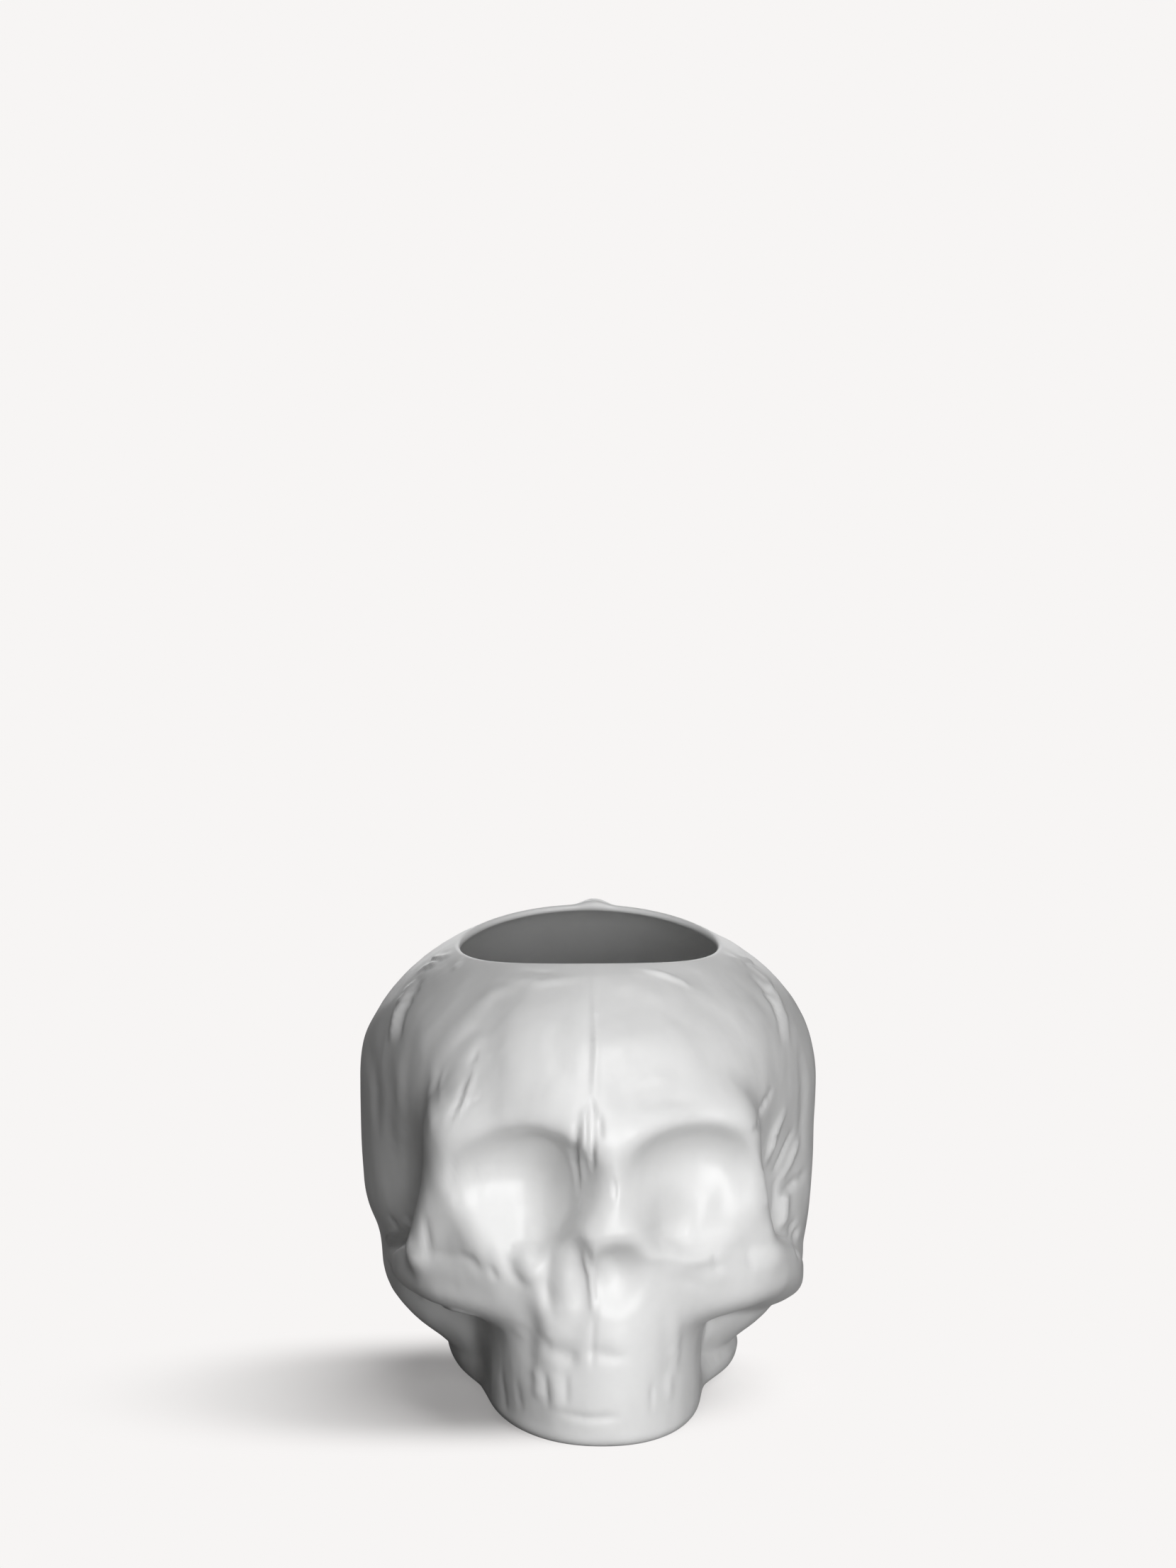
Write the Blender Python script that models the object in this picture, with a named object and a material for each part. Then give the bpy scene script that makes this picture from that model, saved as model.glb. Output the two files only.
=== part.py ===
"""A candle holder in the form of a skull without its lower jaw, blown in white opal glass as one piece.

Metres. X runs across the face, the face looks along -Y, and Z is up from the table that the foot stands on.
The crown is open: a tea light stands on the floor of the hollow braincase.

The glass is made here from a round bubble: the lower part of its skin is pushed out to the skull's
form, and the upper part is pushed in to line the hollow.
"""

import math

import bmesh
import bpy
import numpy as np

# Braincase: a barrel below its widest level and a dome above it.
CASE_HALF_WIDTH = 0.0562
CASE_FRONT_LENGTH = 0.047
CASE_BACK_LENGTH = 0.060
CASE_MIDDLE_Y = 0.008
CASE_WIDEST_Z = 0.070
CROWN_HEIGHT = 0.0424
CASE_DROP = 0.0712
CASE_DOME_FULLNESS = 1.95
CASE_BARREL_FULLNESS = 4.0
CASE_TAPER = 0.12
NAPE_TUCK = 0.018
THROAT_TUCK = 0.055
THROAT_Y = -0.004
THROAT_LENGTH = 0.035
BACK_NARROWING = 0.15
UNDERSIDE_RADIUS = 0.0359
UNDERSIDE_Z = 0.0065
UNDERSIDE_SLOPE = 0.65
UNDERSIDE_BLEND = 0.006

# Forehead: a smaller dome in front of the braincase.
FOREHEAD_HALF_WIDTH = 0.0415
FOREHEAD_DEPTH = 0.040
FOREHEAD_HEIGHT = 0.0366
FOREHEAD_Y = -0.019
FOREHEAD_Z = 0.070
FOREHEAD_BLEND = 0.022

# Face: the mass that the brows, the eye sockets and the cheeks are cut from.
FACE_HALF_WIDTH = 0.0405
FACE_DEPTH = 0.029
FACE_Y = -0.028
FACE_Z = 0.054
FACE_RISE = 0.025
FACE_DROP = 0.028
FACE_FULLNESS = 3.6
FACE_BLEND = 0.010

# Brows: a low ridge over each socket.
BROW_RADIUS = 0.0036
BROW_INNER = (0.0030, -0.0530, 0.0745)
BROW_OUTER = (0.0320, -0.0410, 0.0720)
BROW_BLEND = 0.012

# Eye sockets: shallow bowls with a rounded-square rim, turned outwards with the face.
SOCKET = (0.0212, -0.0560, 0.0605)
SOCKET_HALF_WIDTH = 0.0175
SOCKET_HALF_HEIGHT = 0.0136
SOCKET_DEPTH = 0.0100
SOCKET_FULLNESS = 2.3
SOCKET_TURN = 0.42
SOCKET_BLEND = 0.007

# Outer rims of the sockets, which stand proud of the temples.
RIM_RADIUS = 0.0036
RIM_TOP = (0.0325, -0.0415, 0.0720)
RIM_BOTTOM = (0.0385, -0.0345, 0.0400)
RIM_BLEND = 0.010

# Temples: each side of the head is flat from the rim back, dented behind the eye and notched over the arch.
# Where a value has two figures, they are for the skull's -X and +X sides.
TEMPLE_OUT = 0.0512
TEMPLE_TURN = 0.38
TEMPLE_NOTCH = (0.0060, 0.0000)
TEMPLE_NOTCH_Z = 0.0300
TEMPLE_NOTCH_HEIGHT = 0.0090
TEMPLE_DENT = 0.0050
TEMPLE_DENT_Y = -0.0250
TEMPLE_DENT_Z = 0.0540
TEMPLE_DENT_SIZE = 0.0170
TEMPLE_BLEND = 0.008

# Cheekbones: a shelf that runs around the face and thins to an arch at each side.
CHEEK_X = 0.0018
CHEEK_Y = -0.0060
CHEEK_HALF_WIDTH = 0.0494
CHEEK_HALF_LENGTH = 0.0450
CHEEK_MIDDLE_Z = 0.0355
CHEEK_RISE = 0.0125
CHEEK_DROP = 0.0108
CHEEK_TOP_FULLNESS = 2.8
CHEEK_LOW_FULLNESS = 3.2
CHEEK_PLAN_FULLNESS = 2.6
ARCH_FROM_Y = -0.0350
ARCH_OVER = 0.0350
ARCH_MIDDLE_Z = (0.0290, 0.0262)
ARCH_HALF_HEIGHT = (0.0052, 0.0086)
CHEEK_BLEND = 0.0040

# Nose: a bony bridge over a pear-shaped opening with a thin wall down its middle.
BRIDGE_TOP = (0.0, -0.0520, 0.0705)
BRIDGE_TOP_RADIUS = 0.0026
BRIDGE_TIP = (0.0010, -0.0568, 0.0550)
BRIDGE_TIP_RADIUS = 0.0060
BRIDGE_SPREAD = 0.36
BRIDGE_ROOT = 0.012
BRIDGE_BLEND = 0.009
NOSTRIL_LEFT = (-0.0064, -0.0600, 0.0400)
NOSTRIL_LEFT_SIZES = (0.0040, 0.0045, 0.0100)
NOSTRIL_RIGHT = (0.0044, -0.0605, 0.0430)
NOSTRIL_RIGHT_SIZES = (0.0040, 0.0045, 0.0072)
NOSTRIL_BLEND = 0.0060

# Upper jaw: an arched column from the nose to the table.
JAW_HALF_WIDTH = 0.0243
JAW_LENGTH = 0.0385
JAW_X = 0.0003
JAW_Y = -0.0200
JAW_TOP_Z = 0.0420
JAW_SKEW = 0.05
JAW_FULLNESS = 4.0
JAW_PLAN_FULLNESS = 2.15
JAW_BLEND = 0.015

# Foot: the low pad under the braincase.
FOOT_HALF_WIDTH = 0.0345
FOOT_LENGTH = 0.0350
FOOT_X = 0.0016
FOOT_Y = 0.0085
FOOT_HEIGHT = 0.0065
FOOT_FULLNESS = 6.0
FOOT_BLEND = 0.0100
FOOT_NECK_BLEND = 0.0060
EDGE_ROUNDING = 0.0030

# Opening in the crown, its lip, and the hollow under it.
OPENING_RADIUS = 0.0308
OPENING_Y = 0.0030
LIP_THICKNESS = 0.0022
LIP_WALL = 0.0024
WALL = 0.0060
WALL_THINS_FROM_Z = 0.088
WALL_THINS_OVER = 0.018
WALL_BLEND = 0.0140
FLOOR_THICKNESS = 0.0090
FLOOR_BLEND = 0.0070

# Nub on the back of the lip, where the glass was parted from the mould.
NUB_FOOT = (0.0021, 0.0375, 0.1015)
NUB_TOP = (0.0021, 0.0368, 0.1051)
NUB_RADIUS = 0.0030
NUB_BLEND = 0.0040

# Where the rays that find the skin start, on the face's middle plane.
HEART = (0.0, -0.0060, 0.0560)
REACH = 0.110
BASE_EDGE_HEIGHT = 0.00003

# How finely the skin is divided.
COLUMNS = 96
BASE_ROWS = 3
OUTER_ROWS = 44
LIP_ROWS = 4
INNER_ROWS = 10
FRONT_CROWDING = 0.35
PROFILE_SAMPLES = 320


def smooth_max(a, b, blend):
    """The larger of two distances, with the corner between them rounded over the length blend."""
    return -smooth_min(-a, -b, blend)


def smooth_min(a, b, blend):
    """The smaller of two distances, with the corner between them filled over the length blend."""
    overlap = np.maximum(blend - np.abs(a - b), 0.0) / blend
    return np.minimum(a, b) - overlap * overlap * blend / 4


def mirrored(p):
    """The same points folded onto the +X side, for what the skull has a pair of."""
    return np.stack([np.abs(p[..., 0]), p[..., 1], p[..., 2]], axis=-1)


def egg(p, centre, width, front, back, up, down, top_fullness=2.0, low_fullness=2.0, plan_fullness=2.0):
    """Distance to an egg with its own half-lengths forwards, backwards, up and down, negative inside."""
    x, y, z = (p[..., i] - centre[i] for i in range(3))
    length = np.where(y < 0, front, back)
    height = np.where(z < 0, down, up)
    power = np.where(z < 0, low_fullness, top_fullness)
    plan = (np.abs(x / width) ** plan_fullness + np.abs(y / length) ** plan_fullness) ** (1 / plan_fullness)
    scale = (plan**power + np.abs(z / height) ** power) ** (1 / power) + 1e-9
    return np.sqrt(x * x + y * y + z * z) * (1 - 1 / scale)


def pillow(p, centre, radii, fullness, turn=0.0):
    """Distance to a rounded box with the half-sizes radii, turned about Z. It is negative inside."""
    x, y, z = (p[..., i] - centre[i] for i in range(3))
    across = x * math.cos(turn) + y * math.sin(turn)
    along = y * math.cos(turn) - x * math.sin(turn)
    q = np.stack([across, along, z], axis=-1)
    scale = (np.abs(q / np.array(radii)) ** fullness).sum(-1) ** (1 / fullness) + 1e-9
    return np.sqrt((q * q).sum(-1)) * (1 - 1 / scale)


def rod(p, start, end, start_radius, end_radius):
    """Distance to a round-ended rod that tapers from start to end."""
    start = np.array(start)
    along = np.array(end) - start
    share = np.clip(((p - start) @ along) / (along @ along), 0.0, 1.0)
    nearest = start + share[..., None] * along
    gap = np.sqrt(((p - nearest) ** 2).sum(-1))
    return gap - (start_radius + (end_radius - start_radius) * share)


def braincase(p):
    """The barrel and dome of the braincase, with the forehead blended into its front."""
    low = np.clip((CASE_WIDEST_Z - p[..., 2]) / CASE_WIDEST_Z, 0.0, 1.0) ** 2
    behind = np.clip((p[..., 1] - CASE_MIDDLE_Y) / CASE_BACK_LENGTH, 0.0, 1.5)
    ahead = np.clip((THROAT_Y - p[..., 1]) / THROAT_LENGTH, 0.0, 1.0)
    width = (1 - CASE_TAPER * low) * (1 - BACK_NARROWING * np.minimum(behind, 1.0) ** 2)
    along = p[..., 1] + low * (NAPE_TUCK * behind - THROAT_TUCK * ahead)
    tucked = np.stack([p[..., 0] / width, along, p[..., 2]], axis=-1)
    case = egg(
        tucked,
        (0.0, CASE_MIDDLE_Y, CASE_WIDEST_Z),
        CASE_HALF_WIDTH,
        CASE_FRONT_LENGTH,
        CASE_BACK_LENGTH,
        CROWN_HEIGHT,
        CASE_DROP,
        CASE_DOME_FULLNESS,
        CASE_BARREL_FULLNESS,
    )
    length = np.where(p[..., 1] < CASE_MIDDLE_Y, CASE_FRONT_LENGTH, CASE_BACK_LENGTH)
    out = CASE_HALF_WIDTH * np.hypot(p[..., 0] / CASE_HALF_WIDTH, (p[..., 1] - CASE_MIDDLE_Y) / length)
    underside = (out - UNDERSIDE_RADIUS) * math.sin(UNDERSIDE_SLOPE)
    underside -= (p[..., 2] - UNDERSIDE_Z) * math.cos(UNDERSIDE_SLOPE)
    case = smooth_max(case, underside, UNDERSIDE_BLEND)
    forehead = egg(
        p,
        (0.0, FOREHEAD_Y, FOREHEAD_Z),
        FOREHEAD_HALF_WIDTH,
        FOREHEAD_DEPTH,
        FOREHEAD_DEPTH,
        FOREHEAD_HEIGHT,
        FOREHEAD_HEIGHT,
    )
    return smooth_min(case, forehead, FOREHEAD_BLEND)


def either_side(p, pair):
    """The first value on the -X side and the second on the +X side."""
    return np.where(p[..., 0] < 0, pair[0], pair[1])


def temples(p):
    """How far inside the flat side of the head a point is, behind the eye and over the arch."""
    across = np.abs(p[..., 0]) * math.cos(TEMPLE_TURN) - p[..., 1] * math.sin(TEMPLE_TURN)
    notch = np.exp(-(((p[..., 2] - TEMPLE_NOTCH_Z) / TEMPLE_NOTCH_HEIGHT) ** 2))
    from_dent = (p[..., 1] - TEMPLE_DENT_Y) ** 2 + (p[..., 2] - TEMPLE_DENT_Z) ** 2
    dent = np.exp(-from_dent / TEMPLE_DENT_SIZE**2)
    return TEMPLE_OUT - either_side(p, TEMPLE_NOTCH) * notch - TEMPLE_DENT * dent - across


def sockets(p):
    """The bowl of each eye."""
    return pillow(
        mirrored(p),
        SOCKET,
        (SOCKET_HALF_WIDTH, SOCKET_DEPTH, SOCKET_HALF_HEIGHT),
        SOCKET_FULLNESS,
        SOCKET_TURN,
    )


def nostrils(p):
    """The two halves of the pear-shaped opening under the bridge of the nose, the left one longer."""
    left = pillow(p, NOSTRIL_LEFT, NOSTRIL_LEFT_SIZES, 2.0)
    return np.minimum(left, pillow(p, NOSTRIL_RIGHT, NOSTRIL_RIGHT_SIZES, 2.0))


def face(p):
    """The mass of the face between the brows and the upper jaw."""
    return egg(
        p,
        (0.0, FACE_Y, FACE_Z),
        FACE_HALF_WIDTH,
        FACE_DEPTH,
        FACE_DEPTH,
        FACE_RISE,
        FACE_DROP,
        FACE_FULLNESS,
        FACE_FULLNESS,
    )


def cheeks(p):
    """The shelf of the two cheekbones, which thins to their arches behind."""
    share = np.clip((p[..., 1] - ARCH_FROM_Y) / ARCH_OVER, 0.0, 1.0)
    share = share * share * (3 - 2 * share)
    arch_half = either_side(p, ARCH_HALF_HEIGHT)
    return egg(
        p,
        (CHEEK_X, CHEEK_Y, CHEEK_MIDDLE_Z + (either_side(p, ARCH_MIDDLE_Z) - CHEEK_MIDDLE_Z) * share),
        CHEEK_HALF_WIDTH,
        CHEEK_HALF_LENGTH,
        CHEEK_HALF_LENGTH,
        CHEEK_RISE + (arch_half - CHEEK_RISE) * share,
        CHEEK_DROP + (arch_half - CHEEK_DROP) * share,
        CHEEK_TOP_FULLNESS,
        CHEEK_LOW_FULLNESS,
        CHEEK_PLAN_FULLNESS,
    )


def brows_and_rims(p, shape):
    """The shape with the ridges over and beside the sockets added."""
    pair = mirrored(p)
    shape = smooth_min(shape, rod(pair, BROW_INNER, BROW_OUTER, BROW_RADIUS, BROW_RADIUS), BROW_BLEND)
    return smooth_min(shape, rod(pair, RIM_TOP, RIM_BOTTOM, RIM_RADIUS, RIM_RADIUS), RIM_BLEND)


def bridge(p):
    """The nasal bones, as a ridge that widens towards the face behind it."""
    share = (BRIDGE_TOP[2] - p[..., 2]) / (BRIDGE_TOP[2] - BRIDGE_TIP[2])
    crest = BRIDGE_TOP[1] + (BRIDGE_TIP[1] - BRIDGE_TOP[1]) * np.clip(share, 0.0, 1.0)
    behind = np.clip(p[..., 1] - crest, 0.0, BRIDGE_ROOT)
    onto_crest = np.stack([p[..., 0], p[..., 1] - behind, p[..., 2]], axis=-1)
    ridge = rod(onto_crest, BRIDGE_TOP, BRIDGE_TIP, BRIDGE_TOP_RADIUS, BRIDGE_TIP_RADIUS)
    return ridge - BRIDGE_SPREAD * behind


def jaw(p):
    """The arched column of the upper jaw, which goes on below the table until the base is cut."""
    skewed = np.stack([p[..., 0] + JAW_SKEW * (p[..., 1] - JAW_Y), p[..., 1], p[..., 2]], axis=-1)
    return egg(
        skewed,
        (JAW_X, JAW_Y, 0.0),
        JAW_HALF_WIDTH,
        JAW_LENGTH,
        JAW_LENGTH,
        JAW_TOP_Z,
        JAW_TOP_Z,
        JAW_FULLNESS,
        JAW_FULLNESS,
        JAW_PLAN_FULLNESS,
    )


def foot(p):
    """The low pad under the braincase."""
    return egg(
        p,
        (FOOT_X, FOOT_Y, 0.0),
        FOOT_HALF_WIDTH,
        FOOT_LENGTH,
        FOOT_LENGTH,
        FOOT_HEIGHT,
        FOOT_HEIGHT,
        FOOT_FULLNESS,
        FOOT_FULLNESS,
    )


def skull(p):
    """Distance to the outside of the glass, as if the crown were closed."""
    shape = smooth_min(braincase(p), face(p), FACE_BLEND)
    shape = smooth_max(shape, -temples(p), TEMPLE_BLEND)
    shape = brows_and_rims(p, shape)
    shape = smooth_min(shape, cheeks(p), CHEEK_BLEND)
    shape = smooth_max(shape, -sockets(p), SOCKET_BLEND)
    shape = smooth_min(shape, bridge(p), BRIDGE_BLEND)
    shape = smooth_min(shape, jaw(p), JAW_BLEND)
    standing = smooth_min(jaw(p), foot(p), FOOT_BLEND)
    shape = smooth_min(shape, standing, FOOT_NECK_BLEND)
    shape = smooth_max(shape, -nostrils(p), NOSTRIL_BLEND)
    shape = smooth_min(shape, rod(p, NUB_FOOT, NUB_TOP, NUB_RADIUS, NUB_RADIUS), NUB_BLEND)
    return smooth_max(shape, -p[..., 2], EDGE_ROUNDING)


def hollow(p):
    """Distance to the inside of the glass: the braincase less the wall, clear of temples and sockets."""
    high = np.clip((p[..., 2] - WALL_THINS_FROM_Z) / WALL_THINS_OVER, 0.0, 1.0)
    wall = WALL + (LIP_WALL - WALL) * high * high * (3 - 2 * high)
    shape = braincase(p) + wall
    shape = smooth_max(shape, WALL - temples(p), WALL_BLEND)
    shape = smooth_max(shape, WALL - sockets(p), WALL_BLEND)
    return smooth_max(shape, FLOOR_THICKNESS - p[..., 2], FLOOR_BLEND)


def cast(form, origins, directions):
    """How far each ray goes before it leaves the form for the last time."""
    steps = np.linspace(REACH, 0.0, 45)
    far = np.full(directions.shape[:-1], REACH)
    near = np.zeros_like(far)
    found = np.zeros(far.shape, dtype=bool)
    for step in steps:
        inside = form(origins + directions * step) < 0
        near = np.where(inside & ~found, step, near)
        found |= inside
        far = np.where(found, far, step)
    for _ in range(22):
        middle = (near + far) / 2
        inside = form(origins + directions * middle[..., None]) < 0
        near = np.where(inside, middle, near)
        far = np.where(inside, far, middle)
    return (near + far) / 2


def azimuths(columns):
    """The columns' directions in plan, crowded towards the face. The first looks along -Y."""
    turn = np.linspace(0.0, 2 * math.pi, columns, endpoint=False)
    return turn - FRONT_CROWDING * np.sin(turn)


def sections(form, turns, samples):
    """Each column's section of the form, as points from straight down to straight up."""
    tilt = np.linspace(-math.pi / 2, math.pi / 2, samples)
    flat = np.cos(tilt)[None, :]
    across = np.stack(
        [
            np.sin(turns)[:, None] * flat,
            -np.cos(turns)[:, None] * flat,
            np.broadcast_to(np.sin(tilt), (len(turns), samples)),
        ],
        axis=-1,
    )
    reach = cast(form, np.array(HEART), across)
    return np.array(HEART) + across * reach[..., None]


def cut(line, measure, value):
    """The line in two parts, which share the point where the measure last falls through the value."""
    last = np.nonzero(measure > value)[0][-1]
    share = (measure[last] - value) / (measure[last] - measure[last + 1])
    edge = line[last] + (line[last + 1] - line[last]) * share
    return np.vstack([line[: last + 1], edge]), np.vstack([edge, line[last + 1 :]])


def off_axis(line):
    """How far each point is from the axis of the opening."""
    return np.hypot(line[:, 0], line[:, 1] - OPENING_Y)


def divide(line, pieces):
    """The line's points again, at even steps along it."""
    steps = np.sqrt((np.diff(line, axis=0) ** 2).sum(1))
    run = np.concatenate([[0.0], np.cumsum(steps)])
    places = np.linspace(0.0, run[-1], pieces + 1)
    return np.stack([np.interp(places, run, line[:, i]) for i in range(3)], axis=-1)


def lip(outer_edge, inner_edge, rows):
    """The half-round lip between the outer and the inner skin, as the points strictly between them."""
    middle = (outer_edge + inner_edge) / 2
    half = (outer_edge - inner_edge) / 2
    inwards = np.array([-middle[0], HEART[1] - middle[1], 0.0])
    inwards -= half * (inwards @ half) / (half @ half)
    inwards *= np.sqrt(half @ half) / np.sqrt(inwards @ inwards)
    angles = [math.pi * (i + 1) / (rows + 1) for i in range(rows)]
    return np.array([middle + half * math.cos(a) + inwards * math.sin(a) for a in angles])


def skin(columns, outer_rows, lip_rows, inner_rows):
    """Columns of points from the middle of the base, up the outside, over the lip and down to the floor."""
    turns = azimuths(columns)
    outsides = sections(skull, turns, PROFILE_SAMPLES)
    insides = sections(hollow, turns, PROFILE_SAMPLES)
    lip_radius = OPENING_RADIUS + LIP_THICKNESS / 2
    rings = []
    for outside, inside in zip(outsides, insides):
        base, side = cut(outside, -outside[:, 2], -BASE_EDGE_HEIGHT)
        base[:, 2] = 0.0
        side[0, 2] = 0.0
        outer = divide(cut(side, off_axis(side), lip_radius)[0], outer_rows)
        inner = divide(cut(inside, off_axis(inside), lip_radius)[0], inner_rows)
        edge = lip(outer[-1], inner[-1], lip_rows)
        rings.append(np.vstack([divide(base, BASE_ROWS)[:-1], outer, edge, inner[::-1]]))
    return np.array(rings)


def centred(points):
    """The points moved so that the origin is under the middle of the skull's length."""
    low, high = points[..., 1].min(), points[..., 1].max()
    return points - np.array([0.0, (low + high) / 2, 0.0])


def build_skull(name, columns=COLUMNS, outer_rows=OUTER_ROWS, lip_rows=LIP_ROWS, inner_rows=INNER_ROWS):
    """The skull, made from a bubble whose lower part is pushed out and whose upper part is pushed in."""
    points = centred(skin(columns, outer_rows, lip_rows, inner_rows))
    rows = points.shape[1] - 1
    bubble = bmesh.new()
    bmesh.ops.create_uvsphere(bubble, u_segments=columns, v_segments=rows, radius=1.0)
    for vert in bubble.verts:
        row = round(math.acos(max(-1.0, min(1.0, -vert.co.z))) * rows / math.pi)
        column = round(math.atan2(vert.co.x, -vert.co.y) * columns / (2 * math.pi))
        vert.co = points[column % columns, row]
    mesh = bpy.data.meshes.new(name)
    bubble.to_mesh(mesh)
    bubble.free()
    mesh.shade_smooth()
    return bpy.data.objects.new(name, mesh)


def opal_glass():
    """White glass that no light shows through."""
    material = bpy.data.materials.new("opal_glass")
    material.use_nodes = True
    shader = material.node_tree.nodes["Principled BSDF"]
    shader.inputs["Base Color"].default_value = (0.90, 0.90, 0.89, 1.0)
    shader.inputs["Roughness"].default_value = 0.12
    shader.inputs["IOR"].default_value = 1.5
    return material


if __name__ == "__main__":
    for old in list(bpy.data.objects):
        bpy.data.objects.remove(old)
    holder = bpy.data.collections.new("Skull candle holder")
    bpy.context.scene.collection.children.link(holder)
    skull_object = build_skull("skull")
    skull_object.data.materials.append(opal_glass())
    holder.objects.link(skull_object)
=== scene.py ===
"""A tea light holder in the form of a skull without its lower jaw, in opaque white glass.

Metres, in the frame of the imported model: X across the face, the face looks along -Y, Z up from the table.
"""

import math

import bmesh
import bpy
import numpy as np
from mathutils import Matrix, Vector, noise


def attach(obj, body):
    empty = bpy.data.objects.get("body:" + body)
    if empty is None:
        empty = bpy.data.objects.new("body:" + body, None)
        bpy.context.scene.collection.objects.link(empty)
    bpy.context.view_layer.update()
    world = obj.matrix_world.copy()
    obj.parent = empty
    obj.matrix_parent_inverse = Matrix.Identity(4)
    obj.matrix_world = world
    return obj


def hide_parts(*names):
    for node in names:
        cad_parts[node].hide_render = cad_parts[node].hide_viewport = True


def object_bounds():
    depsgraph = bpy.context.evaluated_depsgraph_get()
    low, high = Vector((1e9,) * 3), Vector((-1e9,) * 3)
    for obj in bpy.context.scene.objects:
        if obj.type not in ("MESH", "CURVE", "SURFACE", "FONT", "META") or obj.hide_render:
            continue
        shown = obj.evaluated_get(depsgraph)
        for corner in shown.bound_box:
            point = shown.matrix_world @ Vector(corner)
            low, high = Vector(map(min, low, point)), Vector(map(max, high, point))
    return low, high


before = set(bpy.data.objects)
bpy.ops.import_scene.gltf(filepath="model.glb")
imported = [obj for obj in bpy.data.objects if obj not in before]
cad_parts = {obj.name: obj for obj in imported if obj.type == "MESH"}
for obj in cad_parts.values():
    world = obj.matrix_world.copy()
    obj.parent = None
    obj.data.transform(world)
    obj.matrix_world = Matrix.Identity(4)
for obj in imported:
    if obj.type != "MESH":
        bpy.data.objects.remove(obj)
cad_low, cad_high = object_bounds()


# The braincase. The holder is one casting of opaque white glass, pressed in a
# two-part mould. Its largest mass is a barrel with a dome over it, and the
# smaller dome of the forehead swells out of its front.
CASE_HALF_WIDTH = 0.0562
CASE_FRONT_LENGTH = 0.047
CASE_BACK_LENGTH = 0.060
CASE_MIDDLE_Y = 0.008
CASE_WIDEST_Z = 0.070
CROWN_HEIGHT = 0.0424
CASE_DROP = 0.0712
CASE_FULLNESS = (1.95, 4.0)
CASE_TAPER = 0.12
NAPE_TUCK = 0.018
THROAT_TUCK = 0.055
THROAT_Y = -0.004
THROAT_LENGTH = 0.035
BACK_NARROWING = 0.15
UNDERSIDE_RADIUS = 0.0359
UNDERSIDE_Z = 0.0065
UNDERSIDE_SLOPE = 0.65
UNDERSIDE_ROUNDING = 0.006
FOREHEAD_HALF_WIDTH = 0.0415
FOREHEAD_DEPTH = 0.040
FOREHEAD_HEIGHT = 0.0366
FOREHEAD_Y = -0.019
FOREHEAD_Z = 0.070
FOREHEAD_BLEND = 0.022


def smooth_min(a, b, blend):
    """The smaller of two distances, with the corner between them filled over the length blend."""
    overlap = np.maximum(blend - np.abs(a - b), 0.0) / blend
    return np.minimum(a, b) - overlap * overlap * blend / 4


def smooth_max(a, b, blend):
    """The larger of two distances, with the corner between them rounded over the length blend."""
    return -smooth_min(-a, -b, blend)


def mirrored(p):
    """The same points folded onto the +X side, for what the skull has a pair of."""
    return np.stack([np.abs(p[..., 0]), p[..., 1], p[..., 2]], axis=-1)


def egg(p, centre, width, lengths, heights, fullness=(2.0, 2.0), plan_fullness=2.0):
    """Distance to an egg, with its half-lengths to front and back and its half-heights up and down."""
    x, y, z = (p[..., i] - centre[i] for i in range(3))
    length = np.where(y < 0, lengths[0], lengths[1])
    height = np.where(z < 0, heights[1], heights[0])
    power = np.where(z < 0, fullness[1], fullness[0])
    plan = (np.abs(x / width) ** plan_fullness + np.abs(y / length) ** plan_fullness) ** (1 / plan_fullness)
    scale = (plan**power + np.abs(z / height) ** power) ** (1 / power) + 1e-9
    return np.sqrt(x * x + y * y + z * z) * (1 - 1 / scale)


def braincase(p):
    """The barrel, the dome and the forehead."""
    low = np.clip((CASE_WIDEST_Z - p[..., 2]) / CASE_WIDEST_Z, 0.0, 1.0) ** 2
    behind = np.clip((p[..., 1] - CASE_MIDDLE_Y) / CASE_BACK_LENGTH, 0.0, 1.5)
    ahead = np.clip((THROAT_Y - p[..., 1]) / THROAT_LENGTH, 0.0, 1.0)
    width = (1 - CASE_TAPER * low) * (1 - BACK_NARROWING * np.minimum(behind, 1.0) ** 2)
    along = p[..., 1] + low * (NAPE_TUCK * behind - THROAT_TUCK * ahead)
    tucked = np.stack([p[..., 0] / width, along, p[..., 2]], axis=-1)
    case = egg(
        tucked,
        (0.0, CASE_MIDDLE_Y, CASE_WIDEST_Z),
        CASE_HALF_WIDTH,
        (CASE_FRONT_LENGTH, CASE_BACK_LENGTH),
        (CROWN_HEIGHT, CASE_DROP),
        CASE_FULLNESS,
    )
    length = np.where(p[..., 1] < CASE_MIDDLE_Y, CASE_FRONT_LENGTH, CASE_BACK_LENGTH)
    out = CASE_HALF_WIDTH * np.hypot(p[..., 0] / CASE_HALF_WIDTH, (p[..., 1] - CASE_MIDDLE_Y) / length)
    underside = (out - UNDERSIDE_RADIUS) * math.sin(UNDERSIDE_SLOPE)
    underside -= (p[..., 2] - UNDERSIDE_Z) * math.cos(UNDERSIDE_SLOPE)
    case = smooth_max(case, underside, UNDERSIDE_ROUNDING)
    forehead = egg(
        p,
        (0.0, FOREHEAD_Y, FOREHEAD_Z),
        FOREHEAD_HALF_WIDTH,
        (FOREHEAD_DEPTH, FOREHEAD_DEPTH),
        (FOREHEAD_HEIGHT, FOREHEAD_HEIGHT),
    )
    return smooth_min(case, forehead, FOREHEAD_BLEND)


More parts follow.
